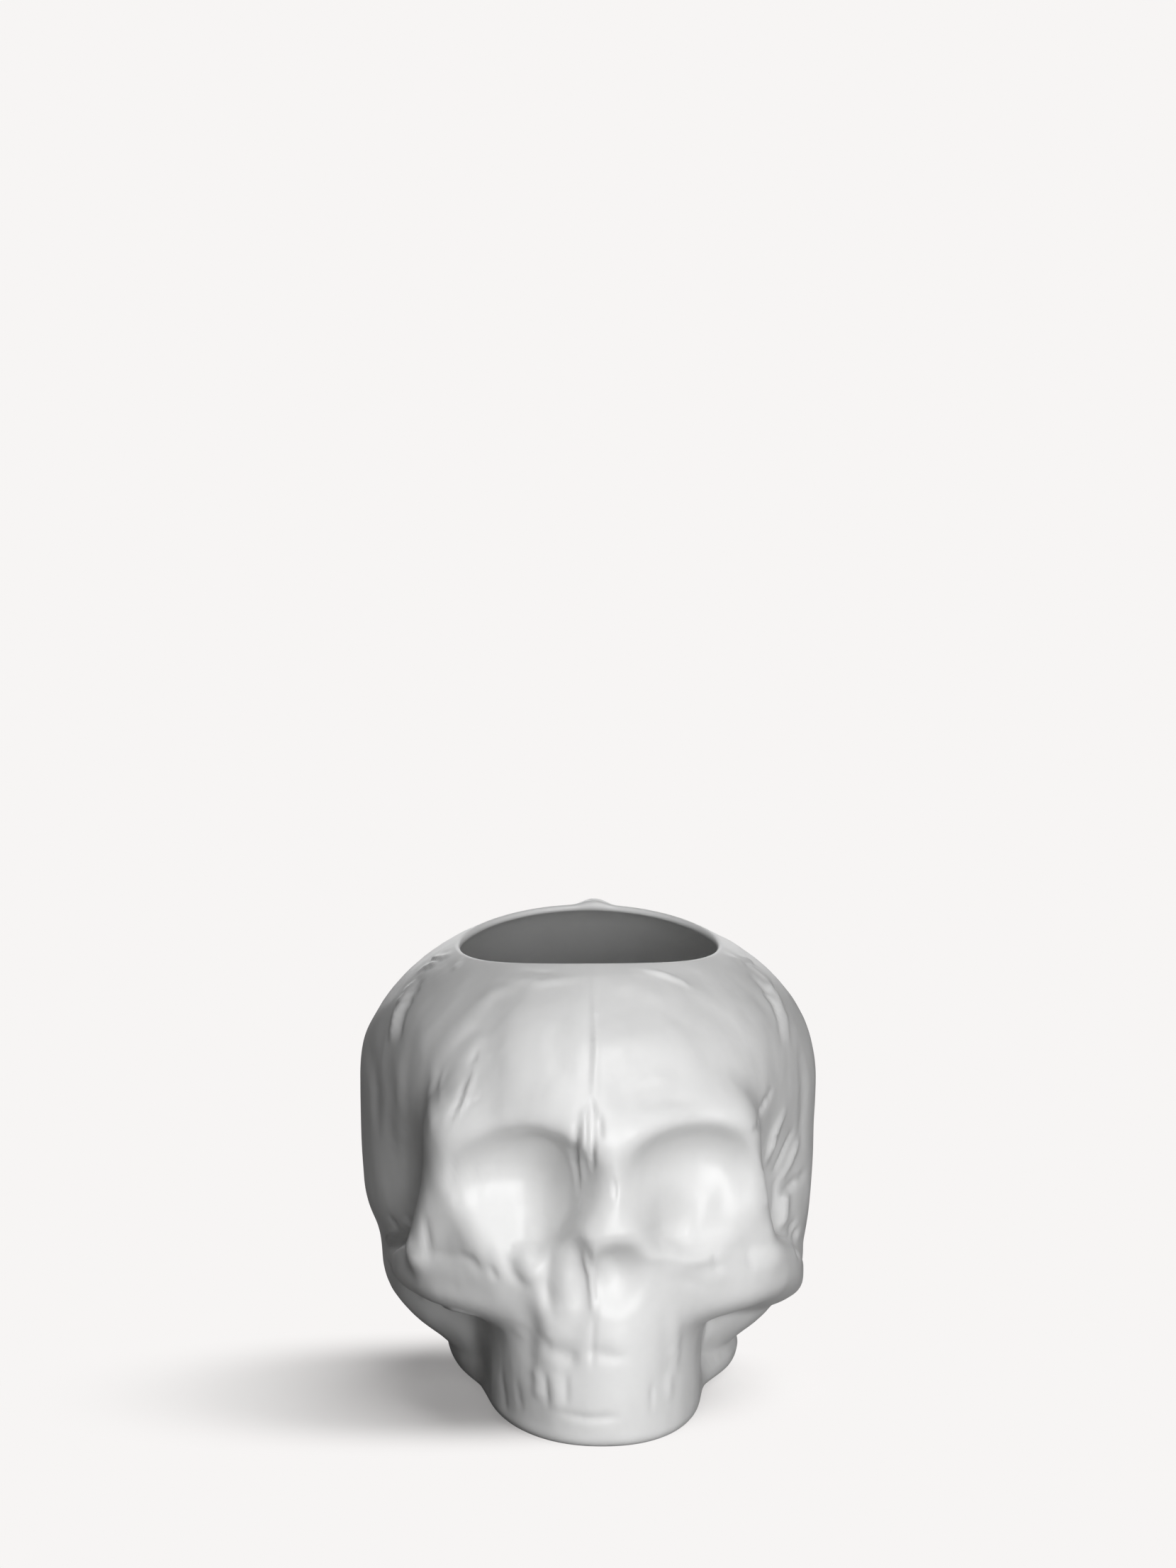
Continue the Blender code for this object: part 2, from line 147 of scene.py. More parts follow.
# The eyes and temples. Two shallow bowls are pressed into the face of the same
# glass, the left one softer and closer to the nose. Low ridges stand over and
# beside them, and behind the outer rims the sides of the head fall in.
FACE_HALF_WIDTH = 0.0405
FACE_DEPTH = 0.029
FACE_Y = -0.028
FACE_Z = 0.054
FACE_RISE = 0.025
FACE_DROP = 0.028
FACE_FULLNESS = (3.6, 3.6)
FACE_BLEND = 0.010
BROW_RADIUS = 0.0036
BROW_INNER = (0.0030, -0.0530, 0.0745)
BROW_OUTER = (0.0305, -0.0420, 0.0720)
BROW_BLEND = 0.012
SOCKET = (0.0225, -0.0545, 0.0605)
SOCKET_HALF_WIDTH = 0.0165
SOCKET_HALF_HEIGHT = 0.0136
SOCKET_DEPTH = 0.0100
SOCKET_TURN = 0.58
SOCKET_FULLNESS = 2.3
LEFT_SOCKET = (-0.0158, -0.0572, 0.0600)
LEFT_SOCKET_HALF_WIDTH = 0.0205
LEFT_SOCKET_HALF_HEIGHT = 0.0150
LEFT_SOCKET_DEPTH = 0.0150
LEFT_SOCKET_TURN = 0.05
LEFT_SOCKET_FULLNESS = 1.75
SOCKET_BLEND = 0.007
RIM_RADIUS = 0.0036
RIM_TOP = (0.0300, -0.0430, 0.0735)
RIM_BOTTOM = (0.0400, -0.0340, 0.0400)
RIM_BLEND = 0.010
TEMPLE_OUT = 0.0512
TEMPLE_TURN = 0.38
TEMPLE_NOTCH = (0.0060, 0.0000)
TEMPLE_NOTCH_Z = 0.0300
TEMPLE_NOTCH_HEIGHT = 0.0090
TEMPLE_DENT = 0.0050
TEMPLE_DENT_Y = -0.0250
TEMPLE_DENT_Z = 0.0540
TEMPLE_DENT_SIZE = 0.0170
TEMPLE_BLEND = 0.008


def pillow(p, centre, radii, fullness, turn=0.0):
    """Distance to a rounded box with the half-sizes radii, turned about Z."""
    x, y, z = (p[..., i] - centre[i] for i in range(3))
    across = x * math.cos(turn) + y * math.sin(turn)
    along = y * math.cos(turn) - x * math.sin(turn)
    q = np.stack([across, along, z], axis=-1)
    scale = (np.abs(q / np.array(radii)) ** fullness).sum(-1) ** (1 / fullness) + 1e-9
    return np.sqrt((q * q).sum(-1)) * (1 - 1 / scale)


def rod(p, start, end, start_radius, end_radius):
    """Distance to a round-ended rod that tapers from start to end."""
    start = np.array(start)
    along = np.array(end) - start
    share = np.clip(((p - start) @ along) / (along @ along), 0.0, 1.0)
    nearest = start + share[..., None] * along
    gap = np.sqrt(((p - nearest) ** 2).sum(-1))
    return gap - (start_radius + (end_radius - start_radius) * share)


def face(p):
    """The mass of the face between the brows and the upper jaw."""
    return egg(
        p,
        (0.0, FACE_Y, FACE_Z),
        FACE_HALF_WIDTH,
        (FACE_DEPTH, FACE_DEPTH),
        (FACE_RISE, FACE_DROP),
        FACE_FULLNESS,
    )


def temples(p):
    """How far inside the flat side of the head a point is, behind the eye and over the arch."""
    across = np.abs(p[..., 0]) * math.cos(TEMPLE_TURN) - p[..., 1] * math.sin(TEMPLE_TURN)
    deep = np.where(p[..., 0] < 0, TEMPLE_NOTCH[0], TEMPLE_NOTCH[1])
    notch = deep * np.exp(-(((p[..., 2] - TEMPLE_NOTCH_Z) / TEMPLE_NOTCH_HEIGHT) ** 2))
    dent = (p[..., 1] - TEMPLE_DENT_Y) ** 2 + (p[..., 2] - TEMPLE_DENT_Z) ** 2
    dent = TEMPLE_DENT * np.exp(-dent / TEMPLE_DENT_SIZE**2)
    return TEMPLE_OUT - notch - dent - across


def brows_and_rims(p, shape):
    """The shape with the ridges over and beside the eyes added."""
    pair = mirrored(p)
    shape = smooth_min(shape, rod(pair, BROW_INNER, BROW_OUTER, BROW_RADIUS, BROW_RADIUS), BROW_BLEND)
    return smooth_min(shape, rod(pair, RIM_TOP, RIM_BOTTOM, RIM_RADIUS, RIM_RADIUS), RIM_BLEND)


def sockets(p):
    """The bowl of each eye, the left one wider and closer to the nose."""
    sizes = (SOCKET_HALF_WIDTH, SOCKET_DEPTH, SOCKET_HALF_HEIGHT)
    left_sizes = (LEFT_SOCKET_HALF_WIDTH, LEFT_SOCKET_DEPTH, LEFT_SOCKET_HALF_HEIGHT)
    left = pillow(p, LEFT_SOCKET, left_sizes, LEFT_SOCKET_FULLNESS, LEFT_SOCKET_TURN)
    return np.minimum(left, pillow(p, SOCKET, sizes, SOCKET_FULLNESS, SOCKET_TURN))


# The cheekbones and the nose. The cheekbones and their arches are one rounded
# shelf round the face. The nose is a ridge between the eyes that ends over a
# pear-shaped hollow with a thin wall down its middle.
CHEEK_X = 0.0018
CHEEK_Y = -0.0060
CHEEK_HALF_WIDTH = 0.0494
CHEEK_HALF_LENGTH = 0.0450
CHEEK_MIDDLE_Z = 0.0355
CHEEK_RISE = 0.0125
CHEEK_DROP = 0.0132
ARCH_FROM_Y = -0.0350
ARCH_OVER = 0.0350
ARCH_MIDDLE_Z = (0.0290, 0.0255)
ARCH_HALF_HEIGHT = (0.0052, 0.0106)
CHEEK_FULLNESS = (2.8, 3.2)
CHEEK_PLAN_FULLNESS = 2.6
CHEEK_BLEND = 0.0040
BRIDGE_TOP = (0.0010, -0.0495, 0.0705)
BRIDGE_TOP_RADIUS = 0.0046
BRIDGE_TIP = (0.0034, -0.0514, 0.0512)
BRIDGE_TIP_RADIUS = 0.0098
BRIDGE_SPREAD = 0.30
BRIDGE_ROOT = 0.012
BRIDGE_BLEND = 0.009
NOSTRIL_LEFT = (-0.0058, -0.0605, 0.0400)
NOSTRIL_LEFT_SIZES = (0.0045, 0.0036, 0.0095)
NOSTRIL_RIGHT = (0.0056, -0.0605, 0.0415)
NOSTRIL_RIGHT_SIZES = (0.0046, 0.0040, 0.0056)
NOSTRIL_FULLNESS = 2.0
NOSTRIL_BLEND = 0.0060


def cheeks(p):
    """The shelf of the two cheekbones, which thins to their arches behind."""
    share = np.clip((p[..., 1] - ARCH_FROM_Y) / ARCH_OVER, 0.0, 1.0)
    share = share * share * (3 - 2 * share)
    arch_z = np.where(p[..., 0] < 0, ARCH_MIDDLE_Z[0], ARCH_MIDDLE_Z[1])
    arch_half = np.where(p[..., 0] < 0, ARCH_HALF_HEIGHT[0], ARCH_HALF_HEIGHT[1])
    middle = CHEEK_MIDDLE_Z + (arch_z - CHEEK_MIDDLE_Z) * share
    rise = CHEEK_RISE + (arch_half - CHEEK_RISE) * share
    drop = CHEEK_DROP + (arch_half - CHEEK_DROP) * share
    return egg(
        p,
        (CHEEK_X, CHEEK_Y, middle),
        CHEEK_HALF_WIDTH,
        (CHEEK_HALF_LENGTH, CHEEK_HALF_LENGTH),
        (rise, drop),
        CHEEK_FULLNESS,
        CHEEK_PLAN_FULLNESS,
    )


def bridge(p):
    """The nasal bones, as a ridge that widens towards the face behind it."""
    share = (BRIDGE_TOP[2] - p[..., 2]) / (BRIDGE_TOP[2] - BRIDGE_TIP[2])
    crest = BRIDGE_TOP[1] + (BRIDGE_TIP[1] - BRIDGE_TOP[1]) * np.clip(share, 0.0, 1.0)
    behind = np.clip(p[..., 1] - crest, 0.0, BRIDGE_ROOT)
    onto_crest = np.stack([p[..., 0], p[..., 1] - behind, p[..., 2]], axis=-1)
    ridge = rod(onto_crest, BRIDGE_TOP, BRIDGE_TIP, BRIDGE_TOP_RADIUS, BRIDGE_TIP_RADIUS)
    return ridge - BRIDGE_SPREAD * behind


def nostrils(p):
    """The two halves of the pear-shaped hollow, the left one longer."""
    left = pillow(p, NOSTRIL_LEFT, NOSTRIL_LEFT_SIZES, NOSTRIL_FULLNESS)
    return np.minimum(left, pillow(p, NOSTRIL_RIGHT, NOSTRIL_RIGHT_SIZES, NOSTRIL_FULLNESS))


# The upper jaw, the foot and the nub. The jaw is an arched column of glass that
# reaches the table, and a low pad behind it carries the braincase. Both are
# ground flat. The nub on the back of the lip is where the glass left the mould.
JAW_HALF_WIDTH = 0.0243
JAW_LENGTH = 0.0385
JAW_X = 0.0003
JAW_Y = -0.0200
JAW_TOP_Z = 0.0420
JAW_SKEW = 0.05
JAW_FULLNESS = (4.0, 4.0)
JAW_PLAN_FULLNESS = 2.15
JAW_BLEND = 0.015
NUB_FOOT = (0.0021, 0.0375, 0.1015)
NUB_TOP = (0.0021, 0.0368, 0.1051)
NUB_RADIUS = 0.0030
NUB_BLEND = 0.0040
FOOT_HALF_WIDTH = 0.0345
FOOT_LENGTH = 0.0350
FOOT_X = 0.0016
FOOT_Y = 0.0085
FOOT_HEIGHT = 0.0065
FOOT_FULLNESS = (6.0, 6.0)
FOOT_BLEND = 0.0060
JAW_TO_FOOT_BLEND = 0.0100
GROUND_ROUNDING = 0.0030


def jaw(p):
    """The arched column of the upper jaw, which bears a little to the right towards the front."""
    skewed = np.stack([p[..., 0] + JAW_SKEW * (p[..., 1] - JAW_Y), p[..., 1], p[..., 2]], axis=-1)
    return egg(
        skewed,
        (JAW_X, JAW_Y, 0.0),
        JAW_HALF_WIDTH,
        (JAW_LENGTH, JAW_LENGTH),
        (JAW_TOP_Z, JAW_TOP_Z),
        JAW_FULLNESS,
        JAW_PLAN_FULLNESS,
    )


def foot(p):
    """The low pad under the braincase."""
    return egg(
        p,
        (FOOT_X, FOOT_Y, 0.0),
        FOOT_HALF_WIDTH,
        (FOOT_LENGTH, FOOT_LENGTH),
        (FOOT_HEIGHT, FOOT_HEIGHT),
        FOOT_FULLNESS,
    )


def skull(p):
    """Distance to the outside of the glass, as if the crown were closed."""
    shape = smooth_min(braincase(p), face(p), FACE_BLEND)
    shape = smooth_max(shape, -temples(p), TEMPLE_BLEND)
    shape = brows_and_rims(p, shape)
    shape = smooth_min(shape, cheeks(p), CHEEK_BLEND)
    shape = smooth_max(shape, -sockets(p), SOCKET_BLEND)
    shape = smooth_min(shape, bridge(p), BRIDGE_BLEND)
    shape = smooth_min(shape, jaw(p), JAW_BLEND)
    standing = smooth_min(jaw(p), foot(p), JAW_TO_FOOT_BLEND)
    shape = smooth_min(shape, standing, FOOT_BLEND)
    shape = smooth_max(shape, -nostrils(p), NOSTRIL_BLEND)
    shape = smooth_min(shape, rod(p, NUB_FOOT, NUB_TOP, NUB_RADIUS, NUB_RADIUS), NUB_BLEND)
    return smooth_max(shape, -p[..., 2], GROUND_ROUNDING)


# The opening and the hollow. The plunger of the press leaves the crown open
# inside a thin rounded lip, and the head hollow down to a level floor that a
# tea light stands on.
OPENING_RADIUS = 0.0308
OPENING_Y = 0.0030
LIP_THICKNESS = 0.0022
LIP_WALL = 0.0016
WALL = 0.0060
WALL_THINS_FROM_Z = 0.088
WALL_THINS_OVER = 0.018
FLOOR_THICKNESS = 0.0090
FLOOR_ROUNDING = 0.0070
HOLLOW_ROUNDING = 0.0140
JUST_OVER_TABLE = 0.00003
HEART = np.array((0.0, -0.0060, 0.0560))
REACH = 0.110
COLUMNS = 332
BASE_ROWS = 4
OUTER_ROWS = 250
LIP_ROWS = 6
INNER_ROWS = 30
OUTER_SAMPLES = 640
INNER_SAMPLES = 90
CAST_STEPS = 36
CAST_HALVINGS = 13
FRONT_CROWDING = 0.6


def hollow(p):
    """Distance to the inside of the glass."""
    high = np.clip((p[..., 2] - WALL_THINS_FROM_Z) / WALL_THINS_OVER, 0.0, 1.0)
    shape = braincase(p) + WALL + (LIP_WALL - WALL) * high * high * (3 - 2 * high)
    shape = smooth_max(shape, WALL - temples(p), HOLLOW_ROUNDING)
    shape = smooth_max(shape, WALL - sockets(p), HOLLOW_ROUNDING)
    return smooth_max(shape, FLOOR_THICKNESS - p[..., 2], FLOOR_ROUNDING)


def cast(form, directions):
    """How far each ray from the heart of the head goes before it leaves the form for the last time."""
    far = np.full(directions.shape[:-1], REACH)
    near = np.zeros_like(far)
    found = np.zeros(far.shape, dtype=bool)
    for step in np.linspace(REACH, 0.0, CAST_STEPS):
        inside = form(HEART + directions * step) < 0
        near = np.where(inside & ~found, step, near)
        found |= inside
        far = np.where(found, far, step)
    for _ in range(CAST_HALVINGS):
        middle = (near + far) / 2
        inside = form(HEART + directions * middle[..., None]) < 0
        near = np.where(inside, middle, near)
        far = np.where(inside, far, middle)
    return (near + far) / 2


def sections(form, turns, samples):
    """Each column's section of the form, as points from straight down to straight up."""
    tilt = np.linspace(-math.pi / 2, math.pi / 2, samples)
    flat = np.cos(tilt)[None, :]
    sides = (np.sin(turns)[:, None] * flat, -np.cos(turns)[:, None] * flat)
    up = np.broadcast_to(np.sin(tilt), (len(turns), samples))
    directions = np.stack([*sides, up], axis=-1)
    return HEART + directions * cast(form, directions)[..., None]


def cut(line, measure, value):
    """The line in two parts, which share the point where the measure last falls through the value."""
    last = np.nonzero(measure > value)[0][-1]
    share = (measure[last] - value) / (measure[last] - measure[last + 1])
    edge = line[last] + (line[last + 1] - line[last]) * share
    return np.vstack([line[: last + 1], edge]), np.vstack([edge, line[last + 1 :]])


def off_axis(line):
    """How far each point is from the axis of the opening."""
    return np.hypot(line[:, 0], line[:, 1] - OPENING_Y)


def divide(line, pieces):
    """The line's points again, at even steps along it."""
    steps = np.sqrt((np.diff(line, axis=0) ** 2).sum(1))
    run = np.concatenate([[0.0], np.cumsum(steps)])
    places = np.linspace(0.0, run[-1], pieces + 1)
    return np.stack([np.interp(places, run, line[:, i]) for i in range(3)], axis=-1)


def lip(outer_edge, inner_edge):
    """The half-round lip between the outer and the inner skin, as the points strictly between them."""
    middle = (outer_edge + inner_edge) / 2
    half = (outer_edge - inner_edge) / 2
    inwards = np.array([-middle[0], HEART[1] - middle[1], 0.0])
    inwards -= half * (inwards @ half) / (half @ half)
    inwards *= np.sqrt(half @ half) / np.sqrt(inwards @ inwards)
    angles = [math.pi * (i + 1) / (LIP_ROWS + 1) for i in range(LIP_ROWS)]
    return np.array([middle + half * math.cos(a) + inwards * math.sin(a) for a in angles])


def skin():
    """Columns of points from the middle of the base, up the outside, over the lip and down to the floor."""
    turns = np.linspace(0.0, 2 * math.pi, COLUMNS, endpoint=False)
    turns = turns - FRONT_CROWDING * np.sin(turns)
    outsides = sections(skull, turns, OUTER_SAMPLES)
    insides = sections(hollow, turns, INNER_SAMPLES)
    lip_radius = OPENING_RADIUS + LIP_THICKNESS / 2
    columns = []
    for outside, inside in zip(outsides, insides):
        base, side = cut(outside, -outside[:, 2], -JUST_OVER_TABLE)
        base[:, 2] = 0.0
        side[0, 2] = 0.0
        outer = divide(cut(side, off_axis(side), lip_radius)[0], OUTER_ROWS)
        inner = divide(cut(inside, off_axis(inside), lip_radius)[0], INNER_ROWS)
        base = divide(base, BASE_ROWS)[:-1]
        columns.append(np.vstack([base, outer, lip(outer[-1], inner[-1]), inner[::-1]]))
    points = np.array(columns)
    low, high = points[..., 1].min(), points[..., 1].max()
    return points - np.array([0.0, (low + high) / 2, 0.0])


plain = skin()


# The moulded relief. The mould was cut from a model worked by hand, and its
# strokes stand out of the glass or lie in it. Each is a line of x, z places in
# mm as seen from in front, with its half width and its height, both in mm.
RELIEF = (
    # Down the middle line.
    (((0.5, 106.8), (0.4, 101.0), (0.5, 93.2), (0.1, 86.1), (-0.2, 81.1)), 1.0, 0.45),  # seam
    (((-0.3, 103.5), (-0.5, 93.2), (-0.7, 84.7)), 1.6, -0.25),  # beside the seam
    (((-0.6, 83.6), (-0.5, 79.0), (-0.7, 73.5), (-0.9, 66.2)), 0.8, -1.50),  # cleft
    (((-2.0, 81.6), (-2.2, 77.5), (-2.0, 71.2)), 1.0, 1.00),  # edge of the cleft
    (((1.2, 80.4), (1.2, 74.7)), 0.8, -0.80),  # pit beside the cleft
    (((-4.1, 78.3), (-4.6, 67.1), (-4.2, 60.4)), 0.9, -0.90),  # second cleft
    (((-3.3, 75.8), (-3.4, 67.6), (-3.1, 62.7)), 0.8, 0.35),  # edge of the second cleft
    (((4.8, 65.7), (4.8, 60.4)), 0.6, -0.50),  # nick on the nose
    # In the left eye.
    (((-32.2, 68.3), (-33.0, 58.0)), 1.0, -0.45),  # ripple
    (((-31.4, 59.6), (-31.4, 54.3)), 0.7, -0.30),  # ripple
    (((-27.6, 65.6), (-27.9, 58.2)), 0.9, -0.30),  # ripple
    (((-24.6, 62.3), (-25.4, 55.0)), 0.9, -0.28),  # ripple
    (((-22.5, 66.6), (-22.5, 58.5)), 0.8, -0.18),  # ripple
    (((-24.1, 47.4), (-14.3, 47.5), (-8.6, 50.4)), 2.6, -0.60),  # crescent under the bulge
    (((-2.0, 70.4), (-4.0, 59.1), (-7.6, 49.7)), 4.0, -0.80),  # flank of the nose
    # Over the left eye.
    (((-33.2, 75.7), (-31.2, 79.9), (-28.9, 85.6)), 0.8, -0.50),  # groove
    (((-31.7, 75.2), (-29.0, 79.9), (-25.2, 82.2)), 0.6, -0.25),  # groove
    (((-32.4, 75.5), (-29.8, 80.6), (-26.9, 87.6)), 0.7, 0.35),  # ridge
    (((-35.1, 78.6), (-35.6, 82.0), (-34.5, 85.9)), 0.7, 0.25),  # streak
    (((-36.8, 85.0), (-37.8, 78.2), (-37.2, 72.0)), 2.0, 0.45),  # soft edge
    (((-26.9, 91.3), (-28.7, 87.6)), 0.8, -0.35),  # nick
    # On the left of the crown.
    (((-41.9, 97.8), (-44.8, 94.0), (-46.8, 89.3), (-47.3, 85.0)), 1.1, 0.80),  # ridge
    (((-39.8, 99.3), (-43.0, 95.0), (-44.9, 91.1), (-45.3, 86.5)), 1.2, -0.80),  # groove
    (((-32.7, 104.8), (-38.5, 100.9), (-41.0, 98.6)), 1.0, 0.60),  # thin line
    # On the right of the crown.
    (
        ((31.3, 105.2), (37.9, 101.3), (42.6, 97.1), (44.9, 94.0), (46.8, 90.0), (47.2, 84.3)),
        1.2,
        0.70,
    ),  # ridge
    (((38.4, 100.0), (41.5, 96.9), (43.9, 93.9), (45.2, 89.9), (45.3, 85.4)), 1.2, -0.80),  # groove
    # Along the lip.
    (((-17.0, 106.4), (-12.8, 106.6), (-8.2, 106.7)), 0.9, -0.50),  # left line
    (((7.2, 107.8), (11.3, 107.2), (16.1, 105.7), (20.7, 104.0), (23.6, 102.4)), 0.9, 0.70),  # right line
    (((8.1, 108.1), (12.5, 107.7), (16.6, 106.8)), 0.8, 0.50),  # upper right line
    (((-30.6, 105.3), (-29.9, 105.4), (-32.3, 102.6)), 1.2, 0.50),  # corner of the lip
    (((-22.3, 104.9), (-12.4, 104.9), (-3.3, 106.1)), 1.4, 0.35),  # wave
    # On the forehead.
    (((7.7, 92.7), (18.5, 92.3)), 6.5, 0.75),  # mound
    (((6.9, 85.7), (17.5, 84.2)), 5.0, -0.60),  # hollow
    (((-16.6, 99.1), (-17.9, 89.5)), 5.0, 0.45),  # left mound
    (((-23.9, 96.2), (-25.3, 87.8)), 4.0, -0.40),  # left dip
    (((-7.7, 98.3), (-7.5, 86.0)), 4.0, -0.30),  # middle dip
    (((-29.7, 95.7), (-23.9, 101.6), (-15.6, 104.6)), 2.2, 0.30),  # brush
    (((-32.1, 89.9), (-27.6, 94.6), (-22.4, 95.8)), 2.0, -0.30),  # brush
    (((6.8, 86.0), (14.1, 87.4), (20.0, 85.6)), 1.6, 0.30),  # brush
    (((10.0, 81.5), (17.4, 82.5), (24.8, 80.4)), 1.6, -0.30),  # brush
    # In the right eye and on its rim.
    (((13.8, 58.6), (25.6, 55.8)), 6.5, 1.90),  # bulge
    (((11.4, 53.4), (22.6, 46.9), (34.3, 48.1)), 3.4, -1.80),  # crescent under the bulge
    (((10.8, 46.4), (22.5, 43.0), (35.0, 41.9)), 1.6, 0.60),  # soft edge
    (((36.4, 70.4), (39.4, 60.9), (40.7, 52.2), (41.8, 44.3)), 1.2, 0.50),  # rim
    # On the right temple.
    (((37.2, 71.8), (39.8, 73.4), (42.9, 76.6)), 1.2, -0.90),  # groove
    (((44.8, 65.2), (42.1, 58.9)), 1.0, 0.50),  # ridge
    (((46.2, 69.0), (43.3, 64.1), (41.8, 57.1)), 1.3, 0.95),  # streak
    (((45.2, 47.1), (49.0, 48.6), (52.9, 48.9)), 1.4, -0.80),  # slanting groove
    (((46.7, 45.5), (45.9, 40.5)), 2.0, 1.20),  # oval
    (((48.6, 37.5), (49.7, 35.2)), 1.6, -1.20),  # recess
    (((44.4, 52.3), (43.9, 45.5), (43.2, 43.7)), 1.3, -0.60),  # groove
    (((51.1, 59.6), (48.3, 54.1), (45.2, 50.6)), 1.3, 0.70),  # streak
    (((48.9, 62.8), (46.2, 57.5), (43.6, 53.8)), 1.0, -0.70),  # groove
    # On the left cheekbone.
    (((-31.4, 42.9), (-28.5, 42.4), (-26.4, 40.0)), 1.4, -0.45),  # crescent
    (((-20.2, 45.5), (-19.3, 40.6), (-16.8, 37.7)), 1.8, -0.80),  # groove
    (((-15.8, 45.6), (-15.1, 40.7)), 2.0, 0.60),  # bump
    (((-24.3, 41.9), (-22.5, 38.2)), 1.0, -0.40),  # small dip
    # On the right cheekbone.
    (((19.7, 39.0), (24.8, 36.6)), 1.8, -0.40),  # dent
    (((28.1, 42.1), (28.9, 40.0)), 1.2, -0.40),  # dent
    (((36.3, 41.6), (37.0, 39.2)), 1.2, -0.40),  # dent
    # On the left arch.
    (((-49.7, 30.2), (-48.1, 35.1), (-45.8, 38.9)), 0.9, 0.70),  # thin line
    (((-47.6, 40.2), (-46.9, 39.7)), 1.2, -0.90),  # pit
    (((-39.0, 50.5), (-38.5, 40.0)), 1.1, -0.70),  # groove
    (((-45.3, 37.3), (-42.4, 44.7)), 1.5, 0.60),  # patch
    # On the nose and in its opening.
    (((-2.4, 48.4), (-0.8, 41.2), (-0.2, 32.5)), 0.9, 0.70),  # septum
    (((-0.0, 46.1), (0.6, 38.5), (0.7, 32.9)), 0.9, -0.50),  # groove beside the septum
    (((-0.0, 31.5), (-0.5, 24.6), (-0.6, 18.8)), 0.9, -0.35),  # groove below the septum
    (((1.3, 47.4), (3.9, 44.6), (6.2, 41.3)), 2.0, -0.50),  # right opening
    (((-6.0, 44.8), (-6.4, 38.4), (-6.1, 33.3)), 3.2, 1.60),  # left lobe
    (((-10.1, 45.8), (-11.1, 38.9), (-10.1, 31.0)), 1.7, -1.00),  # groove round the left lobe
    # On the upper jaw.
    (((-16.9, 36.1), (-15.0, 27.6), (-15.7, 15.7)), 4.4, -1.30),  # hollow beside the nose
    (((-11.4, 31.9), (-10.8, 22.5)), 2.8, 0.60),  # ridge
    (((-13.4, 15.7), (-13.3, 11.9)), 1.7, 0.45),  # tooth
    (((-9.1, 15.5), (-8.8, 10.2)), 1.8, 0.50),  # tooth
    (((-11.2, 16.7), (-11.0, 9.3)), 0.9, -0.30),  # gap
    (((-6.7, 17.7), (-6.5, 10.2)), 0.9, -0.30),  # gap
    (((18.4, 31.1), (19.4, 15.5)), 2.2, 0.70),  # right ridge
    (((13.5, 15.0), (13.5, 7.8)), 0.8, -0.35),  # right line
    (((17.6, 14.6), (17.8, 10.5)), 1.4, 0.45),  # right bump
    (((-2.0, 23.2), (6.8, 22.3)), 1.8, -0.50),  # smudge
    (((-8.0, 8.0), (-1.4, 7.5), (5.5, 8.1)), 1.1, -0.45),  # dip along the gum
    (((-21.6, 13.0), (-20.7, 3.5)), 1.3, -0.20),  # groove at the side
    (((-18.0, 12.8), (-17.2, 5.3)), 1.3, -0.20),  # groove at the side
    (((-5.0, 27.6), (-6.2, 18.3)), 2.6, -0.40),  # broad dip
    (((-10.4, 23.1), (-6.0, 21.5)), 2.4, -0.80),  # smudge
    # Under the cheekbones.
    (((-41.7, 20.4), (-32.5, 27.4), (-26.9, 26.5)), 0.8, 0.60),  # left edge
    (((27.5, 10.7), (28.2, 15.0), (29.7, 26.1)), 1.0, -0.50),  # right edge
    # On the left side of the head.
    (((-52.9, 81.0), (-51.3, 71.1), (-50.8, 60.5)), 3.0, -0.50),  # fold
    (((-45.7, 81.4), (-44.9, 67.6), (-46.0, 52.1)), 3.0, 0.50),  # fold
    # On the right side of the head.
    (((50.4, 81.1), (51.8, 66.4), (51.2, 55.9)), 2.4, -0.50),  # fold
)


WAVES = ((0.016, 1.0, 0.00045), (0.0065, 0.55, 0.00020), (0.0030, 0.40, 0.00006))
RELIEF_STARTS_AT_Z = 0.0015
RELIEF_FULL_AFTER = 0.0030
CALM_ROWS_AT_LIP = 8
TRAIL_STEP = 0.0005
TRAIL_SMOOTHINGS = 3
FRONT_HALF_TO_Y = 0.02
STROKE_FADE_POWER = 0.7
SHORT_STROKE = 4.0
SHORT_STROKE_OVER = 2.0


def outwards(points):
    """The direction out of the glass at each point of the skin."""
    along_row = np.roll(points, -1, axis=0) - np.roll(points, 1, axis=0)
    normal = np.cross(along_row, np.gradient(points, axis=1))
    return normal / np.maximum(np.sqrt((normal**2).sum(-1, keepdims=True)), 1e-12)


def trail(corners, points, normals):
    """A line on the skin through corners, which are x and z in millimetres as seen from in front."""
    corners = np.array(corners) / 1000
    run = np.concatenate([[0.0], np.cumsum(np.sqrt((np.diff(corners, axis=0) ** 2).sum(1)))])
    steps = np.linspace(0.0, run[-1], max(5, int(run[-1] / TRAIL_STEP)))
    line = np.stack([np.interp(steps, run, corners[:, i]) for i in (0, 1)], axis=-1)
    for _ in range(TRAIL_SMOOTHINGS):
        line[1:-1] = (line[:-2] + 2 * line[1:-1] + line[2:]) / 4
    shown = points[(normals[..., 1] < 0.0) & (points[..., 1] < FRONT_HALF_TO_Y)]
    gap = np.hypot(shown[None, :, 0] - line[:, None, 0], shown[None, :, 2] - line[:, None, 1])
    return np.stack([line[:, 0], shown[gap.argmin(1), 1], line[:, 1]], axis=-1)


